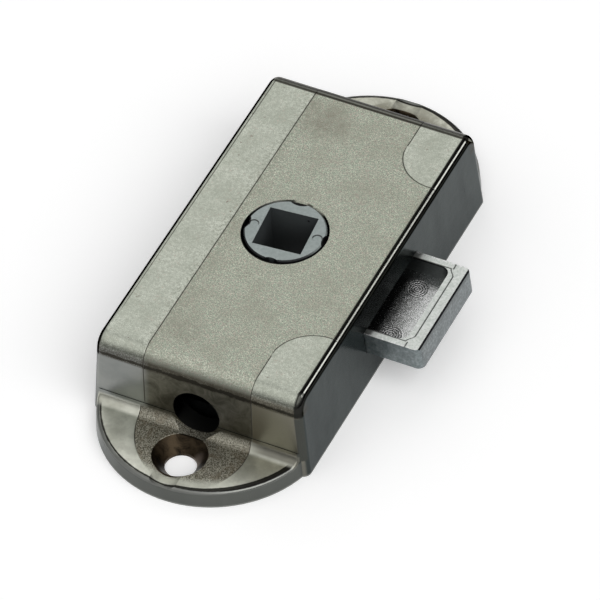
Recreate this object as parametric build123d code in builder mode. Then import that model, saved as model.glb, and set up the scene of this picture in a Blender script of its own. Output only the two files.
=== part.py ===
# Rim cupboard lock with a straight sliding bolt, worked by a square spindle.
# Lengths are in millimetres. The origin is on the rotor's axis in the plane of
# the mounting back: +Z points out of the front, +X the way the bolt is thrown,
# +Y along the case. The lock is drawn locked, with the bolt fully out.
from math import acos, cos, degrees, pi, radians, sin, tan
import os

from build123d import *

os.makedirs("parts", exist_ok=True)

# Case, outside
case_height = 15.5
case_top_width = 34.5
case_top_length = 63.0
side_draft_angle = 4.25
end_draft_angle = 3.0
overall_length = 90.0
lug_thickness = 3.0
lug_rim_round = 0.7
lug_wall_round = 1.8
side_edge_round = 1.3
end_edge_round = 2.8
case_offset = 0.3

# Case, inside
roof_thickness = 2.0
side_wall_thickness = 2.05
end_wall_thickness = 2.5
cavity_corner_round = 2.0
plate_ledge = 1.2

# Fixing holes and rod bores of the case
fixing_hole_inset = 7.0
fixing_hole_diameter = 5.0
fixing_head_diameter = 8.8
countersink_angle = 75.0
rod_diameter = 7.6
rod_clearance = 0.1
rod_axis_height = 6.3
trough_depth = 0.42
trough_radius = 6.0

# Square drive and rotor
square_size = 8.0
square_rest_angle = 5.0
rotor_neck_diameter = 12.9
rotor_waist_diameter = 12.2
rotor_stands_proud = 0.2
rotor_bore_clearance = 0.15
rotor_bore_chamfer = 0.25
rotor_edge_chamfer = 0.2
journal_clearance = 0.08
journal_recess = 0.1
collar_diameter = 15.2
rim_notch_radius = 2.2
rim_notch_depth = 0.45
rim_notch_height = 1.0
ejector_mark_diameter = 1.6
ejector_mark_depth = 0.15

# Teeth of the rotor and of the racks that it drives
tooth_module = 1.0
rotor_teeth = 14
pressure_angle = 20.0
rotor_addendum = 1.0
rotor_dedendum = 0.85
rack_addendum = 0.75
rack_dedendum = 1.2
backlash = 0.16
throw_in_pitches = 3

# Bolt
bolt_width = 19.0
bolt_offset = -0.55
bolt_thickness = 4.0
bolt_bottom_height = 6.0
bolt_protrusion = 9.6
bolt_floor_thickness = 0.95
bolt_rim = 1.3
bolt_tip_wall = 3.3
bolt_tip_slope = 0.4
bolt_tip_chamfer = 0.45
bolt_corner_round = 1.2
bolt_pocket_round = 1.5
bolt_arm_reach = 5.2
bolt_shoulder = 1.5
bolt_clearance = 0.15
bolt_stop_gap = 0.2

# Back plate and its screws
plate_thickness = 1.5
plate_clearance = 0.15
screw_diameter = 3.0
screw_head_diameter = 5.0
screw_length = 11.5
screw_clearance = 0.08
screw_recess_width = 0.7
screw_recess_length = 2.8
screw_recess_depth = 0.8
boss_diameter = 4.8
boss_wall_inset = 2.2
boss_spacing_y = 28.8
boss_web = 1.0

# Guide bracket, spacer sleeves and rings
bracket_thickness = 1.0
bracket_half_length = 11.6
bracket_flange_length = 17.0
bracket_flange_clearance = 0.1
bracket_corner_round = 1.0
bracket_wall_gap = 0.1
bracket_ear_overlap = 0.9
sleeve_wall = 0.5
ring_thickness = 0.5
washer_thickness = 0.4
ring_clearance = 0.15
sliding_gap = 0.1

# Rod carriers
rack_back_thickness = 2.5
carrier_head_width = 10.0
carrier_head_length = 6.6
carrier_head_height = 8.7
carrier_end_gap = 0.4
fork_slot_height = 2.5
fork_slot_depth = 4.5
fork_pin_diameter = 3.0
carrier_edge_break = 0.4

# Ribs under the case roof
bolt_rib_width = 1.5
head_rib_width = 1.2
head_rib_length = 11.5
head_rib_bottom_height = 5.2

# Detent spring
spring_thickness = 0.5
spring_width_share = 0.8
spring_hook = 1.4
spring_bow_half_length = 3.2
spring_standoff = 9.9
spring_bend_round = 0.9
spring_notch_bite = 0.65
spring_seat_clearance = 0.1
notch_clearance = 0.2

cut_overrun = 5.0

# Sizes worked out from the values above
case_base_width = case_top_width + 2 * case_height * tan(radians(side_draft_angle))
case_base_length = case_top_length + 2 * case_height * tan(radians(end_draft_angle))
roof_underside = case_height - roof_thickness
cavity_width = case_top_width - 2 * side_wall_thickness
cavity_length = case_top_length - 2 * end_wall_thickness
fixing_pitch = overall_length - 2 * fixing_hole_inset
boss_spacing_x = cavity_width - 2 * boss_wall_inset
wall_at_lug = case_base_length / 2 - lug_thickness * tan(radians(end_draft_angle))

pitch_radius = tooth_module * rotor_teeth / 2
base_radius = pitch_radius * cos(radians(pressure_angle))
tip_radius = pitch_radius + rotor_addendum
root_radius = pitch_radius - rotor_dedendum
tooth_pitch = pi * tooth_module
tooth_angle = 360 / rotor_teeth
throw = throw_in_pitches * tooth_pitch
throw_angle = degrees(throw / pitch_radius)
rack_tooth_width = tooth_pitch / 2 - backlash / 2
rack_root_width = rack_tooth_width + 2 * rack_dedendum * tan(radians(pressure_angle))
rack_depth = rack_addendum + rack_dedendum
rack_root_line = pitch_radius + rack_dedendum
mesh_reach = (tip_radius**2 - (pitch_radius - rack_addendum) ** 2) ** 0.5

bolt_top = bolt_bottom_height + bolt_thickness
bolt_mid_height = bolt_bottom_height + bolt_thickness / 2
bolt_floor_top = bolt_bottom_height + bolt_floor_thickness
wall_slope_at_bolt = (case_height - bolt_mid_height) * tan(radians(side_draft_angle))
wall_face_at_bolt = case_offset + case_top_width / 2 + wall_slope_at_bolt
bolt_tip = wall_face_at_bolt + bolt_protrusion
bolt_pocket_end = bolt_tip - bolt_tip_wall
bolt_pocket_half_width = bolt_width / 2 - bolt_rim
bolt_shoulder_line = cavity_width / 2 - bolt_stop_gap
bolt_rear = -bolt_arm_reach
bolt_floor_rear = rotor_waist_diameter / 2 + throw + 2 * bolt_clearance

bracket_top = bolt_bottom_height - sliding_gap
bracket_underside = bracket_top - bracket_thickness
carrier_bottom = plate_thickness + sliding_gap
carrier_rack_bottom = plate_thickness + ring_thickness + sliding_gap
carrier_rack_top = bracket_underside - sliding_gap
rack_back_line = rack_root_line + rack_back_thickness
bracket_flange_line = rack_back_line + bracket_flange_clearance
carrier_head_end = cavity_length / 2 - carrier_end_gap
carrier_head_start = carrier_head_end - carrier_head_length
carrier_rack_start = -(mesh_reach + carrier_edge_break)

lower_pinion_bottom = plate_thickness + ring_thickness
lower_pinion_top = carrier_rack_top
upper_pinion_bottom = bolt_floor_top + bolt_clearance
collar_bottom = bolt_top + sliding_gap
collar_top = roof_underside - washer_thickness
rotor_top = case_height + rotor_stands_proud
spring_width = spring_width_share * (collar_top - collar_bottom)
spring_bottom = (collar_top + collar_bottom - spring_width) / 2
bolt_rib_line = bolt_width / 2 + bolt_shoulder - bolt_rib_width / 2
spring_half_span = bolt_rib_line + bolt_rib_width / 2 + spring_bend_round + spring_seat_clearance

screw_spots = [
    (x_side * boss_spacing_x / 2, y_side * boss_spacing_y / 2) for x_side in (-1, 1) for y_side in (-1, 1)
]


def involute_angle(radius):
    """Half the angle that a rotor tooth takes up at a radius, in radians."""
    def unroll(angle):
        return tan(angle) - angle

    half_at_pitch = (tooth_pitch / 2 - backlash / 2) / (2 * pitch_radius)
    roll = acos(min(base_radius / radius, 1))
    return half_at_pitch + unroll(radians(pressure_angle)) - unroll(roll)


def flank_point(radius, side):
    """Point on one flank of the tooth that stands along +X."""
    angle = side * involute_angle(max(radius, base_radius))
    return (radius * cos(angle), radius * sin(angle))


# One involute tooth of the rotor, standing along +X
with BuildSketch() as rotor_tooth:
    with BuildLine():
        mid_radius = (base_radius + tip_radius) / 2
        buried_radius = root_radius - rotor_dedendum / 2
        Line(flank_point(buried_radius, 1), flank_point(base_radius, 1))
        ThreePointArc(flank_point(base_radius, 1), flank_point(mid_radius, 1), flank_point(tip_radius, 1))
        ThreePointArc(flank_point(tip_radius, 1), (tip_radius, 0), flank_point(tip_radius, -1))
        ThreePointArc(flank_point(tip_radius, -1), flank_point(mid_radius, -1), flank_point(base_radius, -1))
        Line(flank_point(base_radius, -1), flank_point(buried_radius, -1))
        Line(flank_point(buried_radius, -1), flank_point(buried_radius, 1))
    make_face()

# Case: drafted die casting with a D-shaped fixing lug at each end
with BuildPart() as lugs:
    with BuildSketch():
        with Locations((case_offset, 0)):
            with GridLocations(0, overall_length - case_base_width, 1, 2):
                Circle(case_base_width / 2)
            Rectangle(case_base_width, overall_length - case_base_width)
    extrude(amount=lug_thickness + lug_wall_round, taper=side_draft_angle)
    with BuildSketch(Plane.YZ):
        with BuildLine():
            flat_start = wall_at_lug + lug_wall_round
            half_length = overall_length / 2 + cut_overrun
            round_top = lug_thickness + lug_wall_round
            round_sag = lug_wall_round * (1 - cos(radians(45)))
            Polyline(
                (-flat_start, lug_thickness), (-half_length, lug_thickness), (-half_length, 0),
                (half_length, 0), (half_length, lug_thickness), (flat_start, lug_thickness),
            )
            ThreePointArc(
                (flat_start, lug_thickness),
                (wall_at_lug + round_sag, lug_thickness + round_sag),
                (wall_at_lug, round_top),
            )
            Line((wall_at_lug, round_top), (-wall_at_lug, round_top))
            ThreePointArc(
                (-wall_at_lug, round_top),
                (-wall_at_lug - round_sag, lug_thickness + round_sag),
                (-flat_start, lug_thickness),
            )
        make_face()
    extrude(amount=case_base_width, both=True, mode=Mode.INTERSECT)
    side_faces = lugs.faces().filter_by(lambda face: abs(face.normal_at().Z) < sin(radians(45)))
    upper_edges = lugs.edges().filter_by(lambda edge: edge.bounding_box().min.Z > lug_thickness / 2)
    upper_rim = upper_edges.filter_by(lambda edge: abs(edge.center().Y) > wall_at_lug)
    fillet(upper_rim.filter_by(lambda edge: any(edge in face.edges() for face in side_faces)), lug_rim_round)

with BuildPart() as case:
    with BuildSketch(Plane.XZ):
        with BuildLine():
            Polyline(
                (case_offset - case_base_width / 2, 0), (case_offset + case_base_width / 2, 0),
                (case_offset + case_top_width / 2, case_height),
                (case_offset - case_top_width / 2, case_height),
                close=True,
            )
        make_face()
    extrude(amount=overall_length / 2, both=True)
    with BuildSketch(Plane.YZ) as end_profile:
        with BuildLine():
            Polyline(
                (-case_base_length / 2, 0), (case_base_length / 2, 0),
                (case_top_length / 2, case_height), (-case_top_length / 2, case_height),
                close=True,
            )
        make_face()
        fillet(end_profile.vertices().group_by(Axis.Y)[-1], end_edge_round)
    extrude(amount=case_base_width, both=True, mode=Mode.INTERSECT)
    flanks = case.faces().sort_by(Axis.X)
    flank_edges = flanks[0].edges() + flanks[-1].edges()
    fillet(flank_edges.filter_by(lambda edge: edge.bounding_box().max.Z > case_height / 2), side_edge_round)
    add(lugs.part)

    # Hollow for the works, with a ledge for the back plate
    with BuildSketch():
        RectangleRounded(cavity_width, cavity_length, cavity_corner_round)
    extrude(amount=roof_underside, mode=Mode.SUBTRACT)
    with BuildSketch():
        RectangleRounded(
            cavity_width + 2 * plate_ledge, cavity_length + 2 * plate_ledge, cavity_corner_round + plate_ledge
        )
    extrude(amount=plate_thickness, mode=Mode.SUBTRACT)

    # Ribs that hold the bolt down and guide the heads of the rod carriers
    with BuildSketch(Plane.XY.offset(roof_underside)):
        with GridLocations(0, 2 * bolt_rib_line, 1, 2):
            Rectangle(cavity_width + side_wall_thickness, bolt_rib_width)
    extrude(amount=-(roof_underside - bolt_top - bolt_clearance))
    with BuildSketch(Plane.XY.offset(roof_underside)):
        rib_spacing_x = carrier_head_width + 2 * bolt_clearance + head_rib_width
        with GridLocations(rib_spacing_x, cavity_length - head_rib_length, 2, 2):
            Rectangle(head_rib_width, head_rib_length + end_wall_thickness)
    extrude(amount=-(roof_underside - head_rib_bottom_height))

    # Screw bosses, webbed to the side walls
    with BuildSketch(Plane.XY.offset(bracket_top)):
        with Locations(*screw_spots):
            Circle(boss_diameter / 2)
        web_end = (cavity_width + side_wall_thickness) / 2
        with GridLocations(boss_spacing_x / 2 + web_end, boss_spacing_y, 2, 2):
            Rectangle(web_end - boss_spacing_x / 2, boss_web)
    extrude(amount=roof_underside - bracket_top)
    with Locations(*[(x, y, 0) for x, y in screw_spots]):
        Cylinder(
            screw_diameter / 2 + screw_clearance, screw_length + screw_clearance,
            align=(Align.CENTER, Align.CENTER, Align.MIN), mode=Mode.SUBTRACT,
        )

    # Seats of the detent spring, cut up into the bolt ribs
    with BuildSketch(Plane.XY.offset(bolt_top)):
        with GridLocations(0, 2 * bolt_rib_line, 1, 2):
            with Locations((-spring_standoff, 0)):
                Rectangle(spring_thickness + 2 * spring_seat_clearance, 2 * bolt_rib_width)
    extrude(amount=spring_bottom + spring_width + spring_seat_clearance - bolt_top, mode=Mode.SUBTRACT)

    # Bolt window, rotor bore, rod bores with a trough along each lug, and fixing holes
    with BuildSketch(Plane.YZ):
        with Locations((bolt_offset, bolt_mid_height)):
            Rectangle(bolt_width + 2 * bolt_clearance, bolt_thickness + 2 * bolt_clearance)
    extrude(amount=case_base_width, mode=Mode.SUBTRACT)
    with Locations((0, 0, case_height)):
        CounterSinkHole(
            rotor_neck_diameter / 2 + rotor_bore_clearance,
            rotor_neck_diameter / 2 + rotor_bore_clearance + rotor_bore_chamfer,
            depth=roof_thickness + cut_overrun,
            counter_sink_angle=90,
        )
    for side in (-1, 1):
        with BuildSketch(Plane.XZ.offset(-side * (cavity_length / 2 - cut_overrun))):
            with Locations((0, rod_axis_height)):
                Circle(rod_diameter / 2 + rod_clearance)
        extrude(amount=-side * (wall_at_lug - cavity_length / 2 + cut_overrun), mode=Mode.SUBTRACT)
        with BuildSketch(Plane.XZ.offset(-side * wall_at_lug)):
            with Locations((0, lug_thickness - trough_depth + trough_radius)):
                Circle(trough_radius)
        extrude(amount=-side * overall_length / 2, mode=Mode.SUBTRACT)
    hole_radius = fixing_hole_diameter / 2
    head_radius = fixing_head_diameter / 2
    cone_depth = (head_radius - hole_radius) / tan(radians(countersink_angle / 2))
    for hole_y in (-fixing_pitch / 2, fixing_pitch / 2):
        with BuildSketch(Plane.XZ.offset(-hole_y)):
            with BuildLine():
                Polyline(
                    (0, -cut_overrun), (hole_radius, -cut_overrun), (hole_radius, lug_thickness - cone_depth),
                    (head_radius, lug_thickness), (head_radius, lug_thickness + lug_wall_round),
                    (0, lug_thickness + lug_wall_round), close=True,
                )
            make_face()
        revolve(axis=Axis((0, hole_y, 0), (0, 0, 1)), mode=Mode.SUBTRACT)
case.part.label = "case"
export_step(case.part, "parts/case.step")

# Rotor: square drive through the lock, two toothed sections and a notched collar
with BuildPart() as rotor:
    stack = [
        (journal_recess, lower_pinion_bottom, rotor_neck_diameter / 2),
        (lower_pinion_top, upper_pinion_bottom, rotor_waist_diameter / 2),
        (collar_bottom, collar_top, collar_diameter / 2),
        (collar_top, rotor_top, rotor_neck_diameter / 2),
    ]
    for bottom, top, radius in stack:
        with BuildSketch(Plane.XY.offset(bottom)):
            Circle(radius)
        extrude(amount=top - bottom)
    for bottom, top, space_angle in (
        (lower_pinion_bottom, lower_pinion_top, 0),
        (upper_pinion_bottom, collar_bottom, -90),
    ):
        with BuildSketch(Plane.XY.offset(bottom)):
            Circle(root_radius)
            with PolarLocations(0, rotor_teeth, start_angle=space_angle + tooth_angle / 2):
                add(rotor_tooth.sketch)
        extrude(amount=top - bottom)
    chamfer(rotor.edges().group_by(Axis.Z)[-1], rotor_edge_chamfer)
    chamfer(rotor.edges().group_by(Axis.Z)[0], rotor_edge_chamfer)

    # Two notches of the collar that the detent spring drops into, locked and open
    notch_radius = spring_bend_round + spring_thickness / 2 + notch_clearance
    notch_centre = collar_diameter / 2 - spring_notch_bite + notch_radius - notch_clearance
    with BuildSketch(Plane.XY.offset(collar_bottom)):
        with PolarLocations(notch_centre, 2, start_angle=180, angular_range=throw_angle, endpoint=True):
            Circle(notch_radius)
    extrude(amount=collar_top - collar_bottom, mode=Mode.SUBTRACT)

    # Small notches in the rim and ejector marks in the front face
    with BuildSketch(Plane.XY.offset(rotor_top)):
        with PolarLocations(
            rotor_neck_diameter / 2 + rim_notch_radius - rim_notch_depth, 4, start_angle=square_rest_angle
        ):
            Circle(rim_notch_radius)
    extrude(amount=-rim_notch_height, mode=Mode.SUBTRACT)
    with BuildSketch(Plane.XY.offset(rotor_top)):
        mark_ring = (square_size / 2 + rotor_neck_diameter / 2) / 2
        with PolarLocations(mark_ring, 2, start_angle=square_rest_angle):
            Circle(ejector_mark_diameter / 2)
    extrude(amount=-ejector_mark_depth, mode=Mode.SUBTRACT)
    with BuildSketch():
        Rectangle(square_size, square_size, rotation=square_rest_angle)
    extrude(amount=case_height + cut_overrun, mode=Mode.SUBTRACT)
rotor.part.label = "rotor"
export_step(rotor.part, "parts/rotor.step")

# Bolt: cast tray with two arms round the rotor, one of them a rack
with BuildPart() as bolt:
    arm_half_width = bolt_width / 2 + bolt_shoulder
    with BuildSketch(Plane.XY.offset(bolt_bottom_height)):
        with Locations((bolt_tip, bolt_offset)):
            Rectangle(bolt_tip - bolt_rear, bolt_width, align=(Align.MAX, Align.CENTER))
        with Locations(((bolt_shoulder_line + bolt_rear) / 2, 0)):
            Rectangle(bolt_shoulder_line - bolt_rear, 2 * arm_half_width)
        with Locations(((bolt_floor_rear + bolt_rear - cut_overrun) / 2, 0)):
            Rectangle(
                bolt_floor_rear - bolt_rear + cut_overrun, 2 * bolt_pocket_half_width, mode=Mode.SUBTRACT
            )
    extrude(amount=bolt_thickness)

    # Sloped end face with a chamfered top edge
    with BuildSketch(Plane.XZ):
        with BuildLine():
            slope_share = bolt_tip_chamfer / bolt_thickness
            Polyline(
                (bolt_rear, bolt_bottom_height), (bolt_tip, bolt_bottom_height),
                (bolt_tip - bolt_tip_slope * (1 - slope_share), bolt_top - bolt_tip_chamfer),
                (bolt_tip - bolt_tip_slope - bolt_tip_chamfer, bolt_top), (bolt_rear, bolt_top),
                close=True,
            )
        make_face()
    extrude(amount=2 * arm_half_width, both=True, mode=Mode.INTERSECT)
    tip_corners = bolt.edges().filter_by(Axis.X, reverse=True).filter_by(Axis.Y, reverse=True)
    fillet(
        tip_corners.filter_by(
            lambda edge: edge.length > bolt_thickness / 2 and edge.center().X > bolt_pocket_end
        ),
        bolt_corner_round,
    )

    # Pocket in the top, open towards the case
    with BuildSketch(Plane.XY.offset(bolt_top)) as pocket:
        with Locations((bolt_pocket_end, bolt_offset)):
            Rectangle(
                bolt_pocket_end - bolt_floor_rear, 2 * bolt_pocket_half_width,
                align=(Align.MAX, Align.CENTER),
            )
        fillet(pocket.vertices().group_by(Axis.X)[-1], bolt_pocket_round)
    extrude(amount=bolt_floor_top - bolt_top, mode=Mode.SUBTRACT)

    # Rack on the arm at -Y, with one tooth always on the line through the rotor
    with BuildSketch(Plane.XY.offset(bolt_bottom_height)):
        first_tooth = -round(mesh_reach / tooth_pitch - 0.5)
        for tooth in range(first_tooth, throw_in_pitches - first_tooth + 1):
            with Locations((tooth * tooth_pitch, -rack_root_line)):
                Trapezoid(
                    rack_root_width, rack_depth, 90 - pressure_angle, align=(Align.CENTER, Align.MIN)
                )
    extrude(amount=bolt_thickness)
bolt.part.label = "bolt"
export_step(bolt.part, "parts/bolt.step")

# Back plate: steel stamping in the ledge at the back of the case
with BuildPart() as back_plate:
    with BuildSketch():
        RectangleRounded(
            cavity_width + 2 * plate_ledge - 2 * plate_clearance,
            cavity_length + 2 * plate_ledge - 2 * plate_clearance,
            cavity_corner_round + plate_ledge - plate_clearance,
        )
        Circle(rotor_neck_diameter / 2 + journal_clearance, mode=Mode.SUBTRACT)
    extrude(amount=plate_thickness)
    with Locations(Plane(origin=(0, 0, 0), x_dir=(1, 0, 0), z_dir=(0, 0, -1))):
        with Locations(*screw_spots):
            CounterSinkHole(
                screw_diameter / 2 + screw_clearance,
                screw_head_diameter / 2 + screw_clearance,
                depth=plate_thickness + cut_overrun,
                counter_sink_angle=90,
            )
back_plate.part.label = "back_plate"
export_step(back_plate.part, "parts/back_plate.step")

# Four countersunk screws from the back, as one set
with BuildPart() as one_screw:
    head_depth = screw_head_diameter / 2 - screw_diameter / 2
    with BuildSketch(Plane.XZ):
        with BuildLine():
            Polyline(
                (0, 0), (screw_head_diameter / 2 - screw_clearance, 0), (screw_diameter / 2, head_depth),
                (screw_diameter / 2, screw_length), (0, screw_length), close=True,
            )
        make_face()
    revolve(axis=Axis.Z)
    with BuildSketch():
        Rectangle(screw_recess_length, screw_recess_width)
        Rectangle(screw_recess_width, screw_recess_length)
    extrude(amount=screw_recess_depth, mode=Mode.SUBTRACT)

with BuildPart() as cover_screws:
    with Locations(*[(x, y, 0) for x, y in screw_spots]):
        add(one_screw.part)
cover_screws.part.label = "cover_screws"
export_step(cover_screws.part, "parts/cover_screws.step")

# Four spacer tubes between the back plate and the guide bracket
with BuildPart() as spacer_sleeves:
    with BuildSketch(Plane.XY.offset(plate_thickness)):
        with Locations(*screw_spots):
            Circle(screw_diameter / 2 + screw_clearance + sleeve_wall)
            Circle(screw_diameter / 2 + screw_clearance, mode=Mode.SUBTRACT)
    extrude(amount=bracket_underside - plate_thickness)
spacer_sleeves.part.label = "spacer_sleeves"
export_step(spacer_sleeves.part, "parts/spacer_sleeves.step")

# Guide bracket: channel that carries the bolt and guides the racks between its flanges
with BuildPart() as guide_bracket:
    flange_outer_line = bracket_flange_line + bracket_thickness
    with BuildSketch(Plane.XY.offset(bracket_underside)) as bracket_outline:
        Rectangle(2 * flange_outer_line, 2 * bracket_half_length)
        ear_half_width = boss_wall_inset - bracket_wall_gap
        ear_inner_line = flange_outer_line - bracket_ear_overlap
        ear_outer_line = boss_spacing_x / 2 + ear_half_width
        with GridLocations(ear_outer_line + ear_inner_line, 0, 2, 1):
            Rectangle(ear_outer_line - ear_inner_line, boss_spacing_y + 2 * ear_half_width)
        fillet(bracket_outline.vertices(), bracket_corner_round)
        with Locations(*screw_spots):
            Circle(screw_diameter / 2 + screw_clearance, mode=Mode.SUBTRACT)
        Circle(tip_radius + bolt_clearance, mode=Mode.SUBTRACT)
    extrude(amount=bracket_thickness)
    with BuildSketch(Plane.XY.offset(plate_thickness)):
        with GridLocations(2 * bracket_flange_line + bracket_thickness, 0, 2, 1):
            Rectangle(bracket_thickness, bracket_flange_length)
    extrude(amount=bracket_underside - plate_thickness)
guide_bracket.part.label = "guide_bracket"
export_step(guide_bracket.part, "parts/guide_bracket.step")

# Rings under and over the rotor
with BuildPart() as friction_ring:
    with BuildSketch(Plane.XY.offset(plate_thickness)):
        Circle(tip_radius)
        Circle(rotor_neck_diameter / 2 + ring_clearance, mode=Mode.SUBTRACT)
    extrude(amount=ring_thickness)
friction_ring.part.label = "friction_ring"
export_step(friction_ring.part, "parts/friction_ring.step")

with BuildPart() as thrust_washer:
    with BuildSketch(Plane.XY.offset(collar_top)):
        Circle(collar_diameter / 2)
        Circle(rotor_neck_diameter / 2 + ring_clearance, mode=Mode.SUBTRACT)
    extrude(amount=washer_thickness)
thrust_washer.part.label = "thrust_washer"
export_step(thrust_washer.part, "parts/thrust_washer.step")

# Rod carriers: a rack beside the rotor and a forked head behind the rod bore
with BuildPart() as rod_carrier_upper:
    with BuildSketch(Plane.XY.offset(carrier_bottom)):
        with Locations((rack_back_line, carrier_head_end)):
            Rectangle(
                rack_back_thickness, carrier_head_end - carrier_rack_start, align=(Align.MAX, Align.MAX)
            )
            Rectangle(
                rack_back_line + carrier_head_width / 2, carrier_head_length, align=(Align.MAX, Align.MAX)
            )
    extrude(amount=carrier_rack_top - carrier_bottom)
    with BuildSketch(Plane.XY.offset(carrier_rack_bottom)):
        first_space = -round(mesh_reach / tooth_pitch - 0.5)
        for tooth in range(first_space, throw_in_pitches - first_space + 1):
            with Locations((rack_root_line, tooth * tooth_pitch)):
                Trapezoid(
                    rack_root_width, rack_depth, 90 - pressure_angle,
                    rotation=90, align=(Align.CENTER, Align.MIN),
                )
    extrude(amount=carrier_rack_top - carrier_rack_bottom)
    with BuildSketch(Plane.XY.offset(carrier_bottom)):
        with Locations((0, (carrier_head_end + carrier_head_start) / 2)):
            Rectangle(carrier_head_width, carrier_head_length)
    extrude(amount=carrier_head_height)
    with BuildSketch(Plane.YZ):
        with Locations((carrier_head_end - fork_slot_depth / 2, rod_axis_height)):
            Rectangle(fork_slot_depth, fork_slot_height)
    extrude(amount=carrier_head_width, both=True, mode=Mode.SUBTRACT)
    with Locations((0, carrier_head_end - fork_slot_depth / 2, carrier_bottom)):
        Cylinder(
            fork_pin_diameter / 2, carrier_head_height,
            align=(Align.CENTER, Align.CENTER, Align.MIN), mode=Mode.SUBTRACT,
        )
rod_carrier_upper.part.label = "rod_carrier_upper"
export_step(rod_carrier_upper.part, "parts/rod_carrier_upper.step")

with BuildPart() as rod_carrier_lower:
    add(rod_carrier_upper.part.rotate(Axis.Z, 180))
rod_carrier_lower.part.label = "rod_carrier_lower"
export_step(rod_carrier_lower.part, "parts/rod_carrier_lower.step")

# Detent spring: bowed strip held in the bolt ribs, its nose in a notch of the collar
with BuildPart() as detent_spring:
    nose_line = collar_diameter / 2 - spring_notch_bite + spring_thickness / 2
    with BuildSketch(Plane.XY.offset(spring_bottom)):
        with BuildLine():
            FilletPolyline(
                (-spring_standoff - spring_hook, -spring_half_span),
                (-spring_standoff, -spring_half_span),
                (-spring_standoff, -spring_bow_half_length),
                (-nose_line, 0),
                (-spring_standoff, spring_bow_half_length),
                (-spring_standoff, spring_half_span),
                (-spring_standoff - spring_hook, spring_half_span),
                radius=spring_bend_round,
            )
            offset(amount=spring_thickness / 2, side=Side.BOTH)
        make_face()
    extrude(amount=spring_width)
detent_spring.part.label = "detent_spring"
export_step(detent_spring.part, "parts/detent_spring.step")
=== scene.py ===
"""Looks of the rim cupboard lock: finishes, fine marks, light and camera round the CAD frame."""

import math

import bpy
from mathutils import Matrix, Vector

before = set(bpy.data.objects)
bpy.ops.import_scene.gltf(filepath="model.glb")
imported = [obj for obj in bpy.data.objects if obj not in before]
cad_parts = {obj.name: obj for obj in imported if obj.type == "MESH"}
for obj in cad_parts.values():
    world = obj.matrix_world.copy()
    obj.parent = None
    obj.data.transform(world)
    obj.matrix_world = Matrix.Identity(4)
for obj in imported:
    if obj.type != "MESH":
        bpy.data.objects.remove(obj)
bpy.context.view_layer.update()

MM = 0.001

# ---------------------------------------------------------------- camera
AZIMUTH = math.radians(28.61)
ELEVATION = math.radians(46.70)
ROLL = math.radians(3.73)
DISTANCE = 1.008
FOCAL_PX = 6478.0
IMAGE_PX = 600.0
ORIGIN_PX = (289.94, 300.61)
SENSOR_MM = 36.0
CLIP = (0.05, 20)


def make_camera():
    """Camera at the photograph's angle, aimed at the rotor's axis."""
    sin_a, cos_a = math.sin(AZIMUTH), math.cos(AZIMUTH)
    sin_e, cos_e = math.sin(ELEVATION), math.cos(ELEVATION)
    right = Vector((cos_a, sin_a, 0))
    up = Vector((-sin_a * sin_e, cos_a * sin_e, cos_e))
    back = Vector((sin_a * cos_e, -cos_a * cos_e, sin_e))
    cam_x = math.cos(ROLL) * right - math.sin(ROLL) * up
    cam_y = math.sin(ROLL) * right + math.cos(ROLL) * up
    data = bpy.data.cameras.new("photo_camera")
    data.sensor_width = SENSOR_MM
    data.lens = FOCAL_PX * SENSOR_MM / IMAGE_PX
    data.shift_x = (IMAGE_PX / 2 - ORIGIN_PX[0]) / IMAGE_PX
    data.shift_y = (ORIGIN_PX[1] - IMAGE_PX / 2) / IMAGE_PX
    data.clip_start, data.clip_end = CLIP
    cam = bpy.data.objects.new("photo_camera", data)
    bpy.context.scene.collection.objects.link(cam)
    rows = [[cam_x[i], cam_y[i], back[i], back[i] * DISTANCE] for i in range(3)]
    cam.matrix_world = Matrix(rows + [[0, 0, 0, 1]])
    bpy.context.scene.camera = cam


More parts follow.
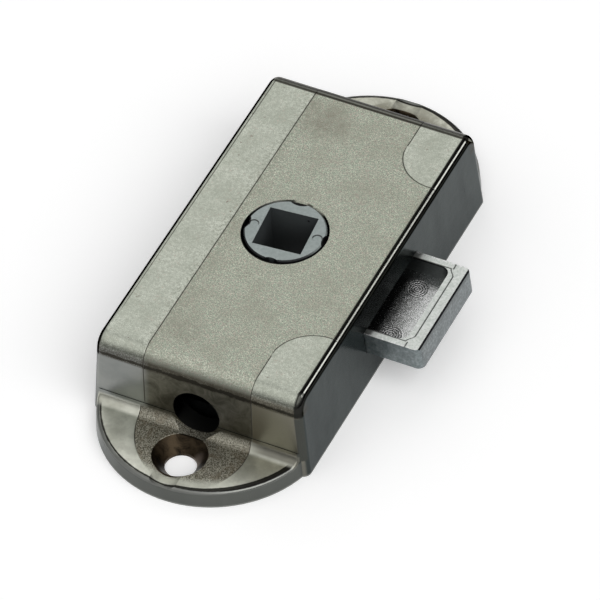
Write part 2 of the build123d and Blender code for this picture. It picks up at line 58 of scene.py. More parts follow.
# ---------------------------------------------------------------- node helpers
class Graph:
    """Short calls that add nodes to one node tree."""

    def __init__(self, tree):
        self.tree = tree
        self.links = tree.links

    def put(self, socket, value):
        if hasattr(value, "is_output"):
            self.links.new(value, socket)
        elif isinstance(value, (tuple, list)) and len(value) == 3 and socket.type == "RGBA":
            socket.default_value = (*value, 1)
        else:
            socket.default_value = value

    def split(self, vector):
        node = self.tree.nodes.new("ShaderNodeSeparateXYZ")
        self.links.new(vector, node.inputs[0])
        return node.outputs

    def vector_math(self, operation, a, b):
        node = self.tree.nodes.new("ShaderNodeVectorMath")
        node.operation = operation
        self.put(node.inputs[0], a)
        self.put(node.inputs[1], b)
        return node.outputs["Value" if operation == "DOT_PRODUCT" else "Vector"]

    def math(self, operation, a, b=None):
        node = self.tree.nodes.new("ShaderNodeMath")
        node.operation = operation
        self.put(node.inputs[0], a)
        if b is not None:
            self.put(node.inputs[1], b)
        return node.outputs[0]

    def add(self, *values):
        out = values[0]
        for v in values[1:]:
            out = self.math("ADD", out, v)
        return out

    def minus(self, a, b):
        return self.math("SUBTRACT", a, b)

    def absolute(self, value):
        """The value without its sign."""
        return self.math("ABSOLUTE", value)

    def both(self, *values):
        out = values[0]
        for v in values[1:]:
            out = self.math("MULTIPLY", out, v)
        return out

    def either(self, *values):
        out = values[0]
        for v in values[1:]:
            out = self.math("MAXIMUM", out, v)
        return out

    def inverse(self, value):
        return self.minus(1.0, value)

    def step(self, value, low, high):
        """0 below low, 1 above high, smooth between."""
        node = self.tree.nodes.new("ShaderNodeMapRange")
        node.interpolation_type = "SMOOTHSTEP"
        self.put(node.inputs["Value"], value)
        node.inputs["From Min"].default_value = low
        node.inputs["From Max"].default_value = high
        return node.outputs[0]

    def under(self, value, low, high):
        """1 below low, 0 above high, smooth between."""
        return self.inverse(self.step(value, low, high))

    def scaled(self, value, low, high, to_low, to_high):
        """Low to high becomes to_low to to_high, in a straight line."""
        node = self.tree.nodes.new("ShaderNodeMapRange")
        self.put(node.inputs["Value"], value)
        limits = zip(("From Min", "From Max", "To Min", "To Max"), (low, high, to_low, to_high))
        for name, limit in limits:
            node.inputs[name].default_value = limit
        return node.outputs[0]

    def share(self, noise, low, high, most=1):
        """How far a noise is from low to high, as a share of up to most."""
        return self.scaled(noise, low, high, 0, most)

    def mix(self, factor, a, b):
        """Colour mix."""
        node = self.tree.nodes.new("ShaderNodeMix")
        node.data_type = "RGBA"
        self.put(node.inputs["Factor"], factor)
        self.put(node.inputs[6], a)
        self.put(node.inputs[7], b)
        return node.outputs[2]

    def blend(self, factor, a, b):
        """Number mix."""
        node = self.tree.nodes.new("ShaderNodeMix")
        self.put(node.inputs["Factor"], factor)
        self.put(node.inputs[2], a)
        self.put(node.inputs[3], b)
        return node.outputs[0]


class Surface(Graph):
    """Node tree of one material, with the piece's own coordinates in millimetres."""

    def __init__(self, name):
        self.material = bpy.data.materials.new(name)
        self.material.use_nodes = True
        super().__init__(self.material.node_tree)
        self.tree.nodes.clear()
        out = self.tree.nodes.new("ShaderNodeOutputMaterial")
        self.bsdf = self.tree.nodes.new("ShaderNodeBsdfPrincipled")
        self.links.new(self.bsdf.outputs[0], out.inputs[0])
        coords = self.tree.nodes.new("ShaderNodeTexCoord")
        scale = self.tree.nodes.new("ShaderNodeVectorMath")
        scale.operation = "SCALE"
        scale.inputs["Scale"].default_value = 1 / MM
        self.links.new(coords.outputs["Object"], scale.inputs[0])
        self.mm = scale.outputs[0]
        self.x, self.y, self.z = self.split(self.mm)
        self.nx, self.ny, self.nz = self.split(coords.outputs["Normal"])

    def line(self, distance, half_width, soft):
        """1 where the distance to a line is under half_width."""
        return self.under(self.absolute(distance), half_width, half_width + soft)

    def noise(self, scale, detail=4.0, rough=0.55, stretch=None, distortion=0.0):
        """Noise with features about scale millimetres across."""
        node = self.tree.nodes.new("ShaderNodeTexNoise")
        node.inputs["Scale"].default_value = 1 / scale
        node.inputs["Detail"].default_value = detail
        node.inputs["Roughness"].default_value = rough
        node.inputs["Distortion"].default_value = distortion
        vector = self.vector_math("MULTIPLY", self.mm, stretch) if stretch else self.mm
        self.links.new(vector, node.inputs["Vector"])
        return node.outputs["Fac"]

    def bump(self, height, distance):
        node = self.tree.nodes.new("ShaderNodeBump")
        node.inputs["Distance"].default_value = distance
        self.put(node.inputs["Height"], height)
        return node.outputs[0]

    def radius(self, cx, cy, u=None, v=None):
        """Distance from a point in the plane of two coordinates."""
        dx = self.minus(self.x if u is None else u, cx)
        dy = self.minus(self.y if v is None else v, cy)
        return self.math("SQRT", self.add(self.both(dx, dx), self.both(dy, dy)))

    def finish(self, color, roughness, normal=None, metallic=1.0, grazing=None):
        """Link the results to the shader. Grazing tints what is seen at a flat angle."""
        self.put(self.bsdf.inputs["Base Color"], color)
        if grazing is not None:
            self.put(self.bsdf.inputs["Specular Tint"], grazing)
        self.put(self.bsdf.inputs["Roughness"], roughness)
        self.put(self.bsdf.inputs["Metallic"], metallic)
        if normal is not None:
            self.links.new(normal, self.bsdf.inputs["Normal"])
        return self.material


# ---------------------------------------------------------------- case: places and colours
# All in millimetres. A place is x and y, an arc is its centre and radius.
# A pair that ends in _X, _Y, _Z or _RADIUS is a soft limit: it fades from the first to the second.
FINE_LINE = (0.04, 0.08)            # half width and soft edge of a witness line
LEFT_BORDER_X = -8.8
RIGHT_BORDER_X = 9.4
CORNER_ARC = (16.1, 24.2, 6.8)
LUG_ARC_LEFT = (4.2, 31.2, 13.7)
LUG_ARC_RIGHT = (-1.5, 35.2, 11.1)
LUG_RIM_CENTRE = (0.3, 26.6)
LUG_RIM_LINE_RADIUS = 17.5
WORN_BACK = (-4.5, 24.0)
WORN_FRONT = (-4.5, -24.5)
SCREW_HOLE_Y = 38.0
CONE_LIGHT = (2.0, 36.6)
ROD_AXIS_Z = 6.3
ROTOR_GAP_CENTRE = (-0.07, -0.22)

CROWN_Z = (11.5, 12.5)
EDGE_Z = (11.7, 12.3)
FLAT_TOP_Z = (14.6, 15.2)
ROUND_END_Y = (28.6, 30.0)
ROUND_LOW_Z = (11.9, 12.3)
ROUND_HIGH_Z = (12.9, 15.3)
ROUND_FOOT_Z = 12.65
LEFT_LINE_Y = (-27.0, -22.0)
MIDDLE_WALL_LEFT_X = (-9.6, -7.6)
MIDDLE_WALL_RIGHT_X = (9.35, 9.5)
RIGHT_WALL_X = (9.4, 9.6)
WALL_FOOT_Z = (0.12, 0.35)
CORNER_ABOVE_Z = (3.0, 3.4)
CORNER_END_Y = (30.9, 31.3)
ABOVE_LUG_Z = (4.8, 5.4)
LUG_Z = (3.9, 4.9)
LUG_END_Y = (33.0, 34.0)
LUG_SIDE_Z = (2.9, 3.2)
LUG_SIDE_END_Y = (31.0, 33.0)
LUG_FILLET_END_Y = (34.5, 35.5)
LUG_STAIN_Y = (0.0, 1.0)
LUG_STAIN_Z = (3.2, 4.0)
LUG_MARK_RADIUS = (13.8, 15.6)
LUG_SANDY_RADIUS = (15.3, 16.9)
LUG_ROUND_RADIUS = (17.55, 17.75)
CONE_RADIUS = (4.35, 4.5)
CONE_Z = (2.9, 2.99)
CONE_LIGHT_RADIUS = (0.5, 1.5)
BORE_RADIUS = (3.93, 3.98)
BORE_FROM_Y = (28.0, 28.5)
BORE_TO_Y = (32.1, 32.3)
INSIDE_X = (15.3, 15.5)
INSIDE_END_Y = (29.2, 29.4)
INSIDE_Z = (13.8, 14.2)
ROTOR_GAP_RADIUS = (6.76, 6.84)
ROTOR_GAP_Z = (13.4, 13.5)

# Colours. A pair is the dark and the light end of a grain.
SATIN = (0.28, 0.305, 0.245), (0.93, 0.97, 0.82)
SATIN_PINK = (0.66, 0.53, 0.47)
SATIN_GREEN = (0.46, 0.60, 0.46)
SATIN_MOTTLE = (0.36, 0.37, 0.30)
SATIN_CLOUD = (0.42, 0.41, 0.33)
SATIN_WORN = (0.33, 0.31, 0.25)
SMOOTH = (0.62, 0.655, 0.56), (0.80, 0.835, 0.73)
SMOOTH_GRAIN = (0.40, 0.42, 0.35)
SMOOTH_MOTTLE = (0.43, 0.46, 0.38)
SMOOTH_PINK = (0.60, 0.44, 0.38)
SMOOTH_SPECK = (0.20, 0.13, 0.10)
BORDER_SHADE = (0.22, 0.225, 0.17)
# Long walls: streaky nickel, darkened as a painted dark reflection of the ground
SIDE_WALL_DARK_REFLECTION = (0.030, 0.037, 0.037), (0.044, 0.053, 0.052)
MIDDLE_WALL = (0.058, 0.055, 0.041), (0.135, 0.130, 0.105)
OUTER_WALL = (0.20, 0.21, 0.20), (0.27, 0.275, 0.26)
RIGHT_WALL = (0.19, 0.172, 0.125)
# Painted dark reflection on the rounded upright corners
UPRIGHT_CORNER_REFLECTION = (0.060, 0.063, 0.056)
# Painted highlight along the foot of the walls
WALL_FOOT_HIGHLIGHT = (0.34, 0.35, 0.33)
SANDY = (0.09, 0.08, 0.055), (0.66, 0.64, 0.53)
SANDY_BROWN = (0.20, 0.155, 0.10)
SANDY_BACK = (0.44, 0.43, 0.35)
LUG = (0.68, 0.69, 0.59), (0.97, 0.98, 0.86)
# Painted shade in the fillet between lug and wall
LUG_FILLET_SHADE = (0.15, 0.145, 0.12)
LUG_BLOTCH = (0.30, 0.29, 0.23)
LUG_BACK = (0.40, 0.39, 0.31)
LUG_OUTER_ROUND = (0.22, 0.225, 0.21)
LUG_RIM_LINE = (0.012, 0.011, 0.010)
LUG_SIDE = (0.085, 0.09, 0.083), (0.13, 0.135, 0.125)
ROUND_SHADE = (0.20, 0.205, 0.165)
ROUND_GRAIN = (0.05, 0.045, 0.035)
# Painted dark reflection along the foot of the end rounds
ROUND_FOOT_REFLECTION = (0.020, 0.018, 0.013)
# Painted dark reflection and painted highlight on the long edges
EDGE_DARK_REFLECTION = (0.022, 0.022, 0.020)
EDGE_GLINT = (0.95, 0.96, 0.88)
# Painted dark reflection line on the left edge
LEFT_EDGE_REFLECTION = (0.07, 0.07, 0.055)
# Painted dark reflection on the back edge, with a lighter painted band
BACK_EDGE_REFLECTION = (0.035, 0.030, 0.022), (0.34, 0.34, 0.30)
CONE_STAIN = (0.012, 0.009, 0.006), (0.065, 0.048, 0.030)
CONE_LIT = (0.26, 0.215, 0.18)
# Painted shade in the bores and the inside of the case
INSIDE_SHADE = (0.03, 0.03, 0.028)
# Painted shadow in the gap round the rotor
ROTOR_GAP_SHADOW = (0.012, 0.012, 0.012)
WITNESS_LINE = (0.035, 0.030, 0.025)

GRAZING_WALL = (0.84, 0.85, 0.85)
GRAZING_EDGE = (0.02, 0.02, 0.02)
CASE_BUMP = 0.00002
WHITE = (1.0, 1.0, 1.0)


class CaseSurface(Surface):
    """Nickel plate: grainy satin top with smooth zones, glossy walls made dark by a painted dark
    reflection, stained lugs, and painted shade, reflections and highlights on rounds, edges and in
    hollows.
    """

    def __init__(self):
        super().__init__("nickel_plate_cast")
        self.end = self.absolute(self.y)    # both ends of the case are alike
        self.set_zones()
        self.set_marks()
        self.set_grains()

    def set_zones(self):
        self.crown = self.both(self.step(self.nz, 0.25, 0.6), self.step(self.z, *CROWN_Z))
        self.low = self.under(self.z, *LUG_Z)
        self.lug_face = self.both(self.low, self.step(self.nz, 0.2, 0.5))
        self.lug_top = self.both(self.low, self.step(self.nz, 0.35, 0.7))
        self.high = self.step(self.z, *EDGE_Z)
        self.end_facing = self.step(self.absolute(self.ny), 0.55, 0.85)
        self.side_facing = self.step(self.absolute(self.nx), 0.35, 0.7)
        self.to_rim = self.radius(*LUG_RIM_CENTRE, v=self.end)
        self.in_middle = self.both(
            self.step(self.x, *MIDDLE_WALL_LEFT_X), self.under(self.x, *MIDDLE_WALL_RIGHT_X)
        )
        self.leftward = self.both(self.nx, -1.0)
        edge = self.either(self.step(self.nx, 0.10, 0.20), self.step(self.leftward, 0.36, 0.46))
        not_wall = self.under(self.absolute(self.nx), 0.955, 0.985)
        self.edge = self.both(edge, self.high, not_wall)

    def set_marks(self):
        """Borders of the insert that shaped the middle of the case, and the zones they part."""
        end = self.end
        self.from_left_border = self.minus(self.x, LEFT_BORDER_X)
        corner_x, corner_y, corner_radius = CORNER_ARC
        corner_arc = self.minus(self.radius(corner_x, corner_y, v=end), corner_radius)
        beyond = self.step(end, corner_y - 0.05, corner_y + 0.05)
        left_zone = self.under(self.x, LEFT_BORDER_X - 0.05, LEFT_BORDER_X + 0.05)
        right_zone = self.either(
            self.both(beyond, self.step(self.x, RIGHT_BORDER_X - 0.05, RIGHT_BORDER_X + 0.05)),
            self.both(self.under(corner_arc, -0.05, 0.05), self.inverse(beyond)),
        )
        self.outer = self.either(left_zone, right_zone)
        arc_line = self.both(self.line(corner_arc, *FINE_LINE), self.inverse(beyond))
        high_marks = self.either(
            self.line(self.from_left_border, *FINE_LINE),
            self.both(self.line(self.minus(self.x, RIGHT_BORDER_X), *FINE_LINE), beyond),
            self.both(arc_line, self.step(self.x, RIGHT_BORDER_X - 0.1, RIGHT_BORDER_X)),
        )
        above_lug = self.step(self.z, *ABOVE_LUG_Z)
        high_marks = self.both(high_marks, above_lug, self.inverse(self.side_facing))

        arcs = []
        for cx, cy, radius in (LUG_ARC_LEFT, LUG_ARC_RIGHT):
            arcs.append(self.minus(self.radius(cx, cy, v=end), radius))
        self.in_lug_zone = self.both(*[self.under(arc, -0.1, 0.1) for arc in arcs])
        low_marks = self.either(
            self.both(self.line(arcs[0], *FINE_LINE), self.under(self.x, 0.0, 0.5)),
            self.both(self.line(arcs[1], *FINE_LINE), self.step(self.x, 2.0, 3.0)),
        )
        low_marks = self.both(low_marks, self.lug_face, self.under(self.to_rim, *LUG_MARK_RADIUS))
        self.marks = self.either(high_marks, low_marks)

    def set_grains(self):
        self.sand = self.noise(0.18, 3.0, 0.75)
        self.tint = self.noise(0.26, 2.0, 0.6)
        self.mottle = self.noise(0.55, 3.0, 0.65)
        self.blotch = self.noise(1.6, 4.0, 0.65)
        self.brown = self.noise(2.6, 6.0, 0.7, distortion=0.8)
        self.cloud = self.noise(5.0, 4.0, 0.6)
        self.patch = self.noise(9.0, 4.0, 0.6, distortion=0.6)

    def top_color(self):
        """Satin in the middle, smooth in the outer zones, shaded along the left border."""
        sand, tint, mottle = self.sand, self.tint, self.mottle
        blotch, cloud = self.blotch, self.cloud
        satin = self.mix(self.share(sand, 0.40, 0.60), *SATIN)
        satin = self.mix(self.both(self.step(tint, 0.52, 0.68), 0.6), satin, SATIN_PINK)
        satin = self.mix(self.both(self.under(tint, 0.34, 0.46), 0.5), satin, SATIN_GREEN)
        satin = self.mix(self.share(mottle, 0.42, 0.62, 0.3), satin, SATIN_MOTTLE)
        satin = self.mix(self.share(cloud, 0.44, 0.66, 0.35), satin, SATIN_CLOUD)
        worn_back = self.under(self.radius(*WORN_BACK), 1.0, 6.0)
        worn_front = self.both(self.under(self.radius(*WORN_FRONT), 0.5, 5.0), 0.6)
        worn = self.either(worn_back, worn_front)
        worn = self.both(worn, self.scaled(blotch, 0.35, 0.6, 0.2, 0.6))
        satin = self.mix(worn, satin, SATIN_WORN)

        smooth = self.mix(self.share(cloud, 0.35, 0.65), *SMOOTH)
        smooth = self.mix(self.share(sand, 0.42, 0.60, 0.75), smooth, SMOOTH_GRAIN)
        smooth = self.mix(self.share(mottle, 0.42, 0.60, 0.45), smooth, SMOOTH_MOTTLE)
        pink = self.both(self.step(tint, 0.58, 0.70), self.step(blotch, 0.5, 0.6), 0.5)
        smooth = self.mix(pink, smooth, SMOOTH_PINK)
        speck = self.step(self.noise(0.9, 2.0, 0.5), 0.70, 0.76)
        smooth = self.mix(self.both(speck, 0.6), smooth, SMOOTH_SPECK)

        color = self.mix(self.outer, satin, smooth)
        near_border = self.under(self.absolute(self.from_left_border), 0.2, 2.4)
        near_border = self.both(near_border, self.step(mottle, 0.48, 0.62))
        near_border = self.both(near_border, self.step(sand, 0.42, 0.6), 0.5)
        return self.mix(near_border, color, BORDER_SHADE)

    def wall_color(self):
        """Long walls with real streaks and a painted dark reflection, end walls with a brown middle
        between the insert's borders.
        """
        streak = self.noise(3.0, 3.0, 0.5, stretch=(1.0, 1.0, 0.25))
        # Painted dark reflection: the long walls' colour stands in for the dark ground they mirror;
        # the streaks are real
        side_wall_reflection = self.mix(self.share(streak, 0.35, 0.65), *SIDE_WALL_DARK_REFLECTION)
        middle_wall = self.mix(self.share(self.brown, 0.35, 0.65), *MIDDLE_WALL)
        outer_wall = self.mix(self.share(self.patch, 0.35, 0.65), *OUTER_WALL)
        end_wall = self.mix(self.in_middle, outer_wall, middle_wall)
        at_right = self.both(self.step(self.x, *RIGHT_WALL_X), 0.70)
        end_wall = self.mix(at_right, end_wall, RIGHT_WALL)
        return self.mix(self.end_facing, side_wall_reflection, end_wall)

    def lug_color(self):
        """Bright plate with a sandy patch round the hole, painted shade in the fillet, and a thin
        dark line along the rim.
        """
        sand, brown, blotch, to_rim = self.sand, self.brown, self.blotch, self.to_rim
        back_stain = self.both(self.step(self.y, *LUG_STAIN_Y), self.under(self.z, *LUG_STAIN_Z))
        sandy = self.mix(self.share(sand, 0.42, 0.60), *SANDY)
        sandy = self.mix(self.both(self.step(brown, 0.48, 0.66), 0.6), sandy, SANDY_BROWN)
        sandy = self.mix(self.both(back_stain, 0.4), sandy, SANDY_BACK)
        inside_rim = self.under(self.add(to_rim, self.both(sand, 0.6)), *LUG_SANDY_RADIUS)
        bright = self.mix(self.share(self.cloud, 0.35, 0.65), *LUG)
        color = self.mix(self.both(self.in_lug_zone, inside_rim), bright, sandy)

        # Painted shade in the fillet between lug and wall, picked by its normal and deeper at the
        # right
        fillet_shade = self.step(self.absolute(self.ny), 0.15, 0.55)
        fillet_shade = self.both(fillet_shade, self.under(self.end, *LUG_FILLET_END_Y))
        fillet_shade = self.both(fillet_shade, self.blend(self.step(self.x, 8.0, 12.0), 0.40, 0.92))
        color = self.mix(fillet_shade, color, LUG_FILLET_SHADE)
        color = self.mix(self.share(blotch, 0.45, 0.65, 0.22), color, LUG_BLOTCH)
        back_stain = self.both(back_stain, self.scaled(brown, 0.4, 0.6, 0.15, 0.65))
        color = self.mix(back_stain, color, LUG_BACK)

        around = self.both(self.low, self.step(self.end, *LUG_END_Y))
        outer_round = self.both(around, self.step(to_rim, *LUG_ROUND_RADIUS))
        color = self.mix(outer_round, color, LUG_OUTER_ROUND)
        wider_at_right = self.both(self.step(self.x, -4.0, 15.0), 0.28)
        half_width = self.add(self.scaled(blotch, 0.3, 0.7, 0.05, 0.13), wider_at_right)
        off_line = self.absolute(self.minus(to_rim, LUG_RIM_LINE_RADIUS))
        rim_line = self.under(self.minus(off_line, half_width), 0.0, 0.12)
        return self.mix(self.both(around, rim_line, 0.95), color, LUG_RIM_LINE)

    def add_low_parts(self, color):
        """Sides of the lugs, painted dark reflection on the upright corners, painted highlight
        along the foot of the walls, top of the lugs.
        """
        lug_side = self.both(self.under(self.z, *LUG_SIDE_Z), self.step(self.end, *LUG_SIDE_END_Y))
        color = self.mix(lug_side, color, self.mix(self.patch, *LUG_SIDE))
        # Painted dark reflection on the rounded upright corners, picked by their slanting normal
        corner_reflection = self.both(self.step(self.nx, 0.03, 0.15), self.under(self.nx, 0.90, 0.98))
        beside_lug = self.either(
            self.step(self.z, *CORNER_ABOVE_Z), self.under(self.end, *CORNER_END_Y)
        )
        corner_reflection = self.both(corner_reflection, self.under(self.z, *EDGE_Z), beside_lug)
        color = self.mix(corner_reflection, color, UPRIGHT_CORNER_REFLECTION)
        # Painted highlight: a lighter line along the foot of the walls
        foot_highlight = self.either(self.side_facing, lug_side)
        foot_highlight = self.both(self.under(self.z, *WALL_FOOT_Z), foot_highlight)
        color = self.mix(self.both(foot_highlight, 0.6), color, WALL_FOOT_HIGHLIGHT)
        return self.mix(self.lug_face, color, self.lug_color())

    def add_rounds(self, color):
        """Painted shade on the end rounds, real grain growing towards their foot, and a painted
        dark reflection line along the foot.
        """
        # Painted shade where the rounds turn away from the top
        turned = self.both(self.step(self.absolute(self.ny), 0.10, 0.60), self.crown)
        color = self.mix(self.both(turned, 0.22), color, ROUND_SHADE)
        round_end = self.step(self.end, *ROUND_END_Y)
        lower_half = self.both(round_end, self.step(self.z, *ROUND_LOW_Z))
        lower_half = self.both(lower_half, self.under(self.z, *ROUND_HIGH_Z))
        grains = self.both(lower_half, self.step(self.sand, 0.32, 0.54))
        color = self.mix(self.both(grains, 0.9), color, ROUND_GRAIN)
        # Painted dark reflection: a line of uneven width along the foot of the round
        half_width = self.scaled(self.blotch, 0.35, 0.65, 0.04, 0.40)
        half_width = self.both(half_width, self.blend(self.outer, 1.3, 0.8))
        off_line = self.absolute(self.minus(self.z, ROUND_FOOT_Z))
        foot_reflection = self.under(self.minus(off_line, half_width), 0.0, 0.15)
        return self.mix(self.both(round_end, foot_reflection, 0.9), color, ROUND_FOOT_REFLECTION)

    def add_edges(self, color):
        """Painted dark reflections and painted highlights along the long edges and the back edge of
        the crown.
        """
        # Painted dark reflection along the long edges, with a painted highlight line in it
        glint = self.line(self.minus(self.nx, 0.585), 0.06, 0.05)
        glint = self.both(glint, self.under(self.absolute(self.ny), 0.15, 0.3))
        color = self.mix(self.both(self.edge, 0.95), color, self.mix(glint, EDGE_DARK_REFLECTION, EDGE_GLINT))
        # Painted dark reflection: a thin line on the left edge, picked by its normal
        left_reflection = self.line(self.minus(self.leftward, 0.11), 0.03, 0.04)
        left_reflection = self.both(left_reflection, self.high, self.step(self.y, *LEFT_LINE_Y))
        color = self.mix(self.both(left_reflection, 0.8), color, LEFT_EDGE_REFLECTION)
        # Painted dark reflection on the back edge of the crown, with a lighter painted band picked
        # by the normal
        back_edge = self.both(self.step(self.ny, 0.04, 0.10), self.high)
        back_band = self.line(self.minus(self.ny, 0.27), 0.05, 0.05)
        return self.mix(self.both(back_edge, 0.9), color, self.mix(back_band, *BACK_EDGE_REFLECTION))

    def add_holes(self, color):
        """Stain and a painted highlight in the countersinks, painted shade in the bores and the
        inside, painted shadow in the gap round the rotor.
        """
        z, end = self.z, self.end
        from_hole = self.radius(0.0, SCREW_HOLE_Y, v=end)
        in_cone = self.both(self.under(from_hole, *CONE_RADIUS), self.under(z, *CONE_Z))
        lit = self.under(self.radius(*CONE_LIGHT, v=end), *CONE_LIGHT_RADIUS)
        stain = self.mix(self.share(self.brown, 0.4, 0.6), *CONE_STAIN)
        color = self.mix(in_cone, color, self.mix(lit, stain, CONE_LIT))
        # Painted shade in the rod bores and the inside of the case
        from_rod_axis = self.radius(0.0, ROD_AXIS_Z, u=self.x, v=z)
        bore = self.both(self.under(from_rod_axis, *BORE_RADIUS), self.step(end, *BORE_FROM_Y))
        bore = self.both(bore, self.under(end, *BORE_TO_Y))
        inside = self.under(self.absolute(self.x), *INSIDE_X)
        inside = self.both(inside, self.under(end, *INSIDE_END_Y), self.under(z, *INSIDE_Z))
        color = self.mix(self.either(inside, bore), color, INSIDE_SHADE)
        # Painted shadow: an off-centre dark ring in the gap round the rotor
        gap_shadow = self.under(self.radius(*ROTOR_GAP_CENTRE), *ROTOR_GAP_RADIUS)
        gap_shadow = self.both(gap_shadow, self.step(z, *ROTOR_GAP_Z))
        color = self.mix(gap_shadow, color, ROTOR_GAP_SHADOW)
        return self.mix(self.both(self.marks, 0.8), color, WITNESS_LINE)

    def roughness(self):
        """Glossy walls, satin middle of the top, smoother outer zones."""
        wall = self.scaled(self.patch, 0.3, 0.7, 0.17, 0.28)
        crown = self.scaled(self.sand, 0.3, 0.7, 0.42, 0.55)
        rough = self.blend(self.crown, wall, crown)
        smooth = self.scaled(self.mottle, 0.3, 0.7, 0.30, 0.40)
        rough = self.blend(self.both(self.outer, self.crown), rough, smooth)
        rough = self.blend(self.edge, rough, 0.12)
        lug = self.blend(self.in_lug_zone, self.scaled(self.brown, 0.3, 0.7, 0.30, 0.40), 0.48)
        rough = self.blend(self.lug_top, rough, lug)
        return self.blend(self.end_facing, rough, self.blend(self.in_middle, 0.30, 0.42))

    def relief(self):
        """Grain, cut lines and a slow ripple, as heights of the bump."""
        sandy = self.blend(self.both(self.lug_top, self.in_lug_zone), 0.25, 1.0)
        grainy = self.blend(self.both(self.crown, self.inverse(self.outer)), sandy, 1.0)
        flat_top = self.both(self.step(self.nz, 0.90, 0.985), self.step(self.z, *FLAT_TOP_Z))
        ripple = self.both(self.noise(2.4, 2.0, 0.5), self.blend(flat_top, 1.2, 0.4))
        return self.add(self.both(self.sand, grainy), self.both(self.marks, -1.5), ripple)

    def make(self):
        color = self.add_low_parts(self.wall_color())
        on_top = self.both(self.crown, self.inverse(self.side_facing))
        color = self.mix(on_top, color, self.top_color())
        color = self.add_holes(self.add_edges(self.add_rounds(color)))
        grazing = self.mix(self.side_facing, WHITE, GRAZING_WALL)
        grazing = self.mix(self.edge, grazing, GRAZING_EDGE)
        normal = self.bump(self.relief(), CASE_BUMP)
        return self.finish(color, self.roughness(), normal, grazing=grazing)


# ---------------------------------------------------------------- rotor
SQUARE_TURN = math.radians(5.0)
SQUARE_SIZE = 8.0
NECK_RADIUS = 12.9 / 2
NOTCH_OFFSET = 1.75                         # centre of a rim notch, beyond the neck
# Notches with the strongest painted shade, and how far it spreads round them
DARK_NOTCHES = ((1, 2.5), (2, 2.35))        # quarter of a turn, radius of the dark spot
EJECTOR_RING_RADIUS = 0.80
ROTOR_TOP_Z = (15.3, 15.45)
SOCKET_Z = (9.0, 15.4)
ROTOR_SIDE_RADIUS = (6.0, 6.1)
NOTCH_RADIUS = (5.85, 5.95)
NOTCH_Z = (15.1, 15.35)
PIT_AT = (1.9, 14.6)                        # x and z, in the socket's back wall
PIT_RADIUS = (0.12, 0.25)
PIT_Y = (3.5, 3.6)

ZINC = (0.36, 0.41, 0.40), (0.46, 0.51, 0.50)
ZINC_CLOUD = (0.40, 0.45, 0.43)
# Painted shade in the square socket, deeper lower down
SOCKET_SHADE = (0.075, 0.085, 0.088)
SOCKET_DEEP_SHADE = (0.02, 0.022, 0.022)
# Painted shade on the rotor's side in the gap
ROTOR_SIDE_SHADE = (0.015, 0.016, 0.017)
# Painted shade in the rim notches
NOTCH_SHADE = (0.006, 0.005, 0.005)
EJECTOR_LINE = (0.12, 0.11, 0.10)
PIT = (0.001, 0.001, 0.001)
ROTOR_BUMP = 0.00002
ROTOR_METALLIC = 0.6


def rotor_material():
    """Matt blue-grey zinc casting, with painted shade in the square."""
    n = Surface("zinc_matt")
    grain = n.noise(0.5, 4.0, 0.6)
    cloud = n.noise(3.0, 3.0, 0.5)
    color = n.mix(n.share(grain, 0.35, 0.65), *ZINC)
    color = n.mix(n.share(cloud, 0.4, 0.6, 0.4), color, ZINC_CLOUD)
    top = n.step(n.z, *ROTOR_TOP_Z)
    face = n.both(n.step(n.nz, 0.9, 0.97), top)
    bevel = n.both(n.step(n.nz, 0.5, 0.65), top, n.step(n.y, -4.5, -1.0))
    inner = n.inverse(n.either(face, n.both(bevel, 0.8)))
    # Painted shade in the square socket, deeper lower down
    color = n.mix(n.both(inner, 0.93), color, SOCKET_SHADE)
    color = n.mix(n.both(inner, n.under(n.z, *SOCKET_Z), 0.7), color, SOCKET_DEEP_SHADE)
    from_axis = n.radius(0.0, 0.0)
    # Painted shade on the rotor's side in the gap
    color = n.mix(n.both(n.step(from_axis, *ROTOR_SIDE_RADIUS), inner), color, ROTOR_SIDE_SHADE)

    # Notches in the rim: two look dark in the photograph, the others pale
    # Painted shade in the notches, spread round two of them and weaker on the pale side
    notch_shade = n.both(n.step(from_axis, *NOTCH_RADIUS), n.under(n.z, *NOTCH_Z))
    for quarter, reach in DARK_NOTCHES:
        turn = SQUARE_TURN + quarter * math.pi / 2
        out = NECK_RADIUS + NOTCH_OFFSET
        spot = n.radius(out * math.cos(turn), out * math.sin(turn))
        notch_shade = n.either(notch_shade, n.under(spot, reach, reach + 0.1))
    pale_side = n.step(n.minus(n.x, n.y), 4.5, 6.5)
    color = n.mix(n.both(notch_shade, n.blend(pale_side, 1.0, 0.45)), color, NOTCH_SHADE)

    # Ejector marks: part of a fine ring shows round each
    out = (SQUARE_SIZE / 2 + NECK_RADIUS) / 2
    rings = []
    for side in (1, -1):
        cx, cy = side * out * math.cos(SQUARE_TURN), side * out * math.sin(SQUARE_TURN)
        ring = n.line(n.minus(n.radius(cx, cy), EJECTOR_RING_RADIUS), 0.04, 0.07)
        rings.append(n.both(ring, n.step(n.minus(n.y, cy), -0.2, 0.3)))
    rings = n.both(n.either(*rings), face)
    color = n.mix(n.both(rings, 0.7), color, EJECTOR_LINE)
    pit = n.under(n.radius(*PIT_AT, v=n.z), *PIT_RADIUS)
    pit = n.both(pit, inner, n.step(n.y, *PIT_Y))
    color = n.mix(pit, color, PIT)
    rough = n.scaled(cloud, 0.3, 0.7, 0.5, 0.62)
    height = n.add(grain, n.both(rings, -2.0))
    return n.finish(color, rough, n.bump(height, ROTOR_BUMP), metallic=ROTOR_METALLIC)


